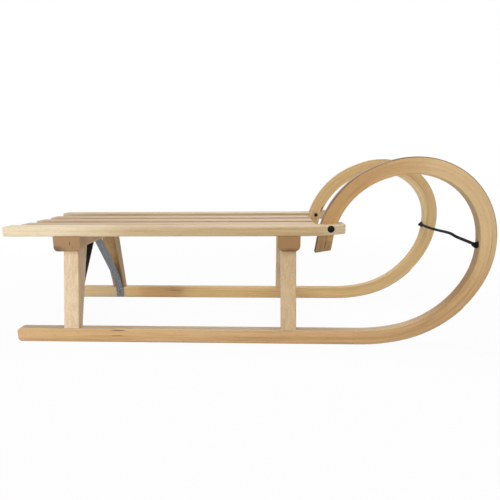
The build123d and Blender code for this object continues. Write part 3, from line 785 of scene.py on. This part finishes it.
def screws(name, slot, material, radius, proud, places):
    """A set of screw heads as one piece; each place comes with its outward direction."""
    bm = bmesh.new()
    for number, (place, outward) in enumerate(places):
        slotted_screw(bm, place, outward, radius, proud, FIRST_SLOT_TURN + NEXT_SLOT_TURN * number)
    bmesh.ops.recalc_face_normals(bm, faces=bm.faces)
    stand_in(mesh_object(name, bm, [material, slot_dark], sharp_degrees=35), slot)


def middle_x(node):
    """Middle of a solid along X."""
    low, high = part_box(node)
    return (low[0] + high[0]) / 2 / MM


# Screws: brace feet and landings, inner slats from below, and shoes from below
BRACE_SCREW, SLAT_SCREW, SHOE_SCREW = (3.6, 0.6), (3.8, 0.5), (3.4, 0.15)  # radius and rise
FIRST_SLOT_TURN, NEXT_SLOT_TURN = 0.4, 1.1  # radians
DOWN = (0, 0, -1)
BEAM_RELIEF_Z = SLAT_BOTTOM - BEAM_DEPTH + BEAM_RELIEF
LANDING_Z = BEAM_RELIEF_Z - BRACE_THICKNESS
FOOT_Y = TRACK_WIDTH / 2 - RUNNER_WIDTH - BRACE_THICKNESS
FOOT_SCREW_Z, LANDING_SCREW_Y, SLAT_SCREW_Y = 17.0, 11.0, 68.0
SHOE_Y = TRACK_WIDTH / 2 - RUNNER_WIDTH / 2
SHOE_SCREW_COUNT, SHOE_SCREW_REAR, SHOE_SCREW_GAP = 5, -505.0, 175.0
for end in BEAM_MARKS_AND_SHADE:
    brace_x, beam_x = middle_x(f"brace_{end}"), middle_x(f"crossbeam_{end}")
    feet = [((brace_x, y, FOOT_SCREW_Z), (0, -y, 0)) for y in (-FOOT_Y, FOOT_Y)]
    landing = [((brace_x, y, LANDING_Z), DOWN) for y in (-LANDING_SCREW_Y, LANDING_SCREW_Y)]
    under = [((beam_x, y, BEAM_RELIEF_Z), DOWN) for y in (-SLAT_SCREW_Y, SLAT_SCREW_Y)]
    screws(f"brace_screws_{end}", "brace_steel", enamel_with_painted_shade, *BRACE_SCREW, feet + landing)
    screws(f"slat_screws_{end}", "bolt_steel", black_steel, *SLAT_SCREW, under)
for side, sign in SIDES.items():
    along_shoe = [
        ((SHOE_SCREW_REAR + SHOE_SCREW_GAP * number, -sign * SHOE_Y, 0.0), DOWN)
        for number in range(SHOE_SCREW_COUNT)]
    screws(f"shoe_screws_{side}", "shoe_steel", shoe_steel, *SHOE_SCREW, along_shoe)

# Cord between the horns: the route's points from knot to knot
CORD_DIAMETER, CORD_GAP = 7.0, 0.5
CORD_Z, CORD_REACH = 229.0, 153.5
cord_x = front_x - HORN_DEPTH - CORD_GAP - CORD_DIAMETER / 2
CORD_ROUTE = [
    (0.0, -CORD_REACH, 0.0),
    (-0.6, -110.0, 1.3),
    (0.8, -64.0, 1.3),
    (-0.4, -38.0, 5.9),
    (0.8, 14.0, 2.5),
    (-0.5, 85.0, -0.8),
    (0.0, CORD_REACH, 0.0),
]
cord_points = [Vector((cord_x + x, y, CORD_Z + z)) * MM for x, y, z in CORD_ROUTE]

KNOTS = {"right": (503.0, -157.5), "left": (506.75, 155.0)}  # middle of each, in X and Y
KNOT_STEPS, KNOT_LOBE, KNOT_LIFT, KNOT_CORD = 15, 1.75, 2.6, 6.4


def cord_curve(name, points, diameter, material, closed=False):
    """A round cord on one smooth line through its points."""
    data = bpy.data.curves.new(name, "CURVE")
    data.dimensions = "3D"
    spline = data.splines.new("NURBS")
    spline.points.add(len(points) - 1)
    for point, place in zip(spline.points, points):
        point.co = (*place, 1.0)
    spline.order_u = 3
    spline.use_cyclic_u = closed
    spline.use_endpoint_u = not closed
    spline.resolution_u = 12
    data.bevel_depth = diameter / 2
    data.bevel_resolution = 6
    data.materials.append(material)
    piece = bpy.data.objects.new(name, data)
    SCENE.collection.objects.link(piece)
    return piece


def overhand_knot(side):
    """Overhand knot: the cord's three-lobed loop drawn tight against the horn."""
    middle = Vector((*KNOTS[side], CORD_Z))
    places = []
    for step in range(KNOT_STEPS):
        t = math.tau * step / KNOT_STEPS
        across = KNOT_LOBE * (math.cos(t) - 2 * math.cos(2 * t))
        upward = KNOT_LOBE * (math.sin(t) + 2 * math.sin(2 * t))
        lift = -SIDES[side] * KNOT_LIFT * math.sin(3 * t)
        places.append((middle + Vector((across, lift, upward))) * MM)
    return cord_curve(f"overhand_knot_{side}", places, KNOT_CORD * MM, knot_black, closed=True)


knots = []
for side in SIDES:
    stand_in(horn_bolt(side), "bolt_steel", f"horn_bolt_{side}")
    knots.append(overhand_knot(side))
    stand_in(knots[-1], "cord_black", f"cord_knot_{side}")

cord = cord_curve("cord", cord_points, CORD_DIAMETER * MM, cord_black)
stand_in(cord, "cord_black", "pull_cord")

# Studio in metres: white all round for the camera, soft light at a plain level

SOFT_LEVEL, WHITE_LEVEL = 0.12, 1.0
LAMP_SIZE, LAMP_TARGET = 1.0, Vector((0, 0, 0.2))
LAMPS = (
    # name, place, watts
    ("front", (0, -2.2, 1.6), 16),
    ("rear_low", (-1.5, -2.0, 0.5), 18),
    ("top", (0, 0.1, 2.2), 20),
    ("side", (2.2, 0, 1.0), 3),
    ("back", (0, 1.8, 1.8), 7),
)
FLOOR_RADIUS, FLOOR_DROP, FLOOR_WHITE = 6.0, 0.0004, 0.9
FADE_RADII, FADE_SHARES = (0.7, 1.6), (0.95, 1.0)  # where the floor turns to plain white


def seen_share(tree):
    """1 for rays that see the studio from the camera, in a gloss or through a body, else 0."""
    path = add(tree, "ShaderNodeLightPath")
    share = path.outputs["Is Camera Ray"]
    for name in ("Is Glossy Ray", "Is Transmission Ray"):
        share = add(tree, "ShaderNodeMath", {"operation": "MAXIMUM"}, {
            0: share, 1: path.outputs[name]})
    return share


world = bpy.data.worlds.new("studio")
SCENE.world = world
world.use_nodes = True
sky = world.node_tree
sky.nodes.clear()
soft, white = (
    add(sky, "ShaderNodeBackground", inputs={"Color": (1, 1, 1, 1), "Strength": level})
    for level in (SOFT_LEVEL, WHITE_LEVEL))
both = add(sky, "ShaderNodeMixShader", inputs={0: seen_share(sky), 1: soft, 2: white})
add(sky, "ShaderNodeOutputWorld", inputs={"Surface": both})

for name, place, watts in LAMPS:
    data = bpy.data.lights.new(name, "AREA")
    data.shape, data.size, data.energy = "SQUARE", LAMP_SIZE, watts
    lamp = bpy.data.objects.new(name, data)
    lamp.location = place
    aim = LAMP_TARGET - Vector(place)
    lamp.rotation_euler = aim.to_track_quat("-Z", "Y").to_euler()
    SCENE.collection.objects.link(lamp)

# Floor: matt white that keeps the sled's shadow, turning to plain white around it
floor_material, tree, shader = blank_material("studio_floor")
feed(tree, shader, {"Base Color": (*[FLOOR_WHITE] * 3, 1), "Roughness": 0.9})
coordinates = add(tree, "ShaderNodeTexCoord")
away = add(tree, "ShaderNodeVectorMath", {"operation": "LENGTH"}, {
    0: coordinates.outputs["Object"]})
fade = add(tree, "ShaderNodeMapRange", inputs={
    "Value": away, "From Min": FADE_RADII[0], "From Max": FADE_RADII[1],
    "To Min": FADE_SHARES[0], "To Max": FADE_SHARES[1]})
plain = add(tree, "ShaderNodeMath", TIMES, {0: seen_share(tree), 1: fade})
glow = add(tree, "ShaderNodeEmission", inputs={"Color": (1, 1, 1, 1), "Strength": 1.0})
blend = add(tree, "ShaderNodeMixShader", inputs={0: plain, 1: shader, 2: glow})
feed(tree, tree.nodes["Material Output"], {"Surface": blend})
bm = bmesh.new()
bmesh.ops.create_circle(bm, cap_ends=True, segments=96, radius=FLOOR_RADIUS)
floor = mesh_object("studio_floor", bm, [floor_material])
floor.location.z = -FLOOR_DROP

SCENE.view_settings.view_transform = "Standard"
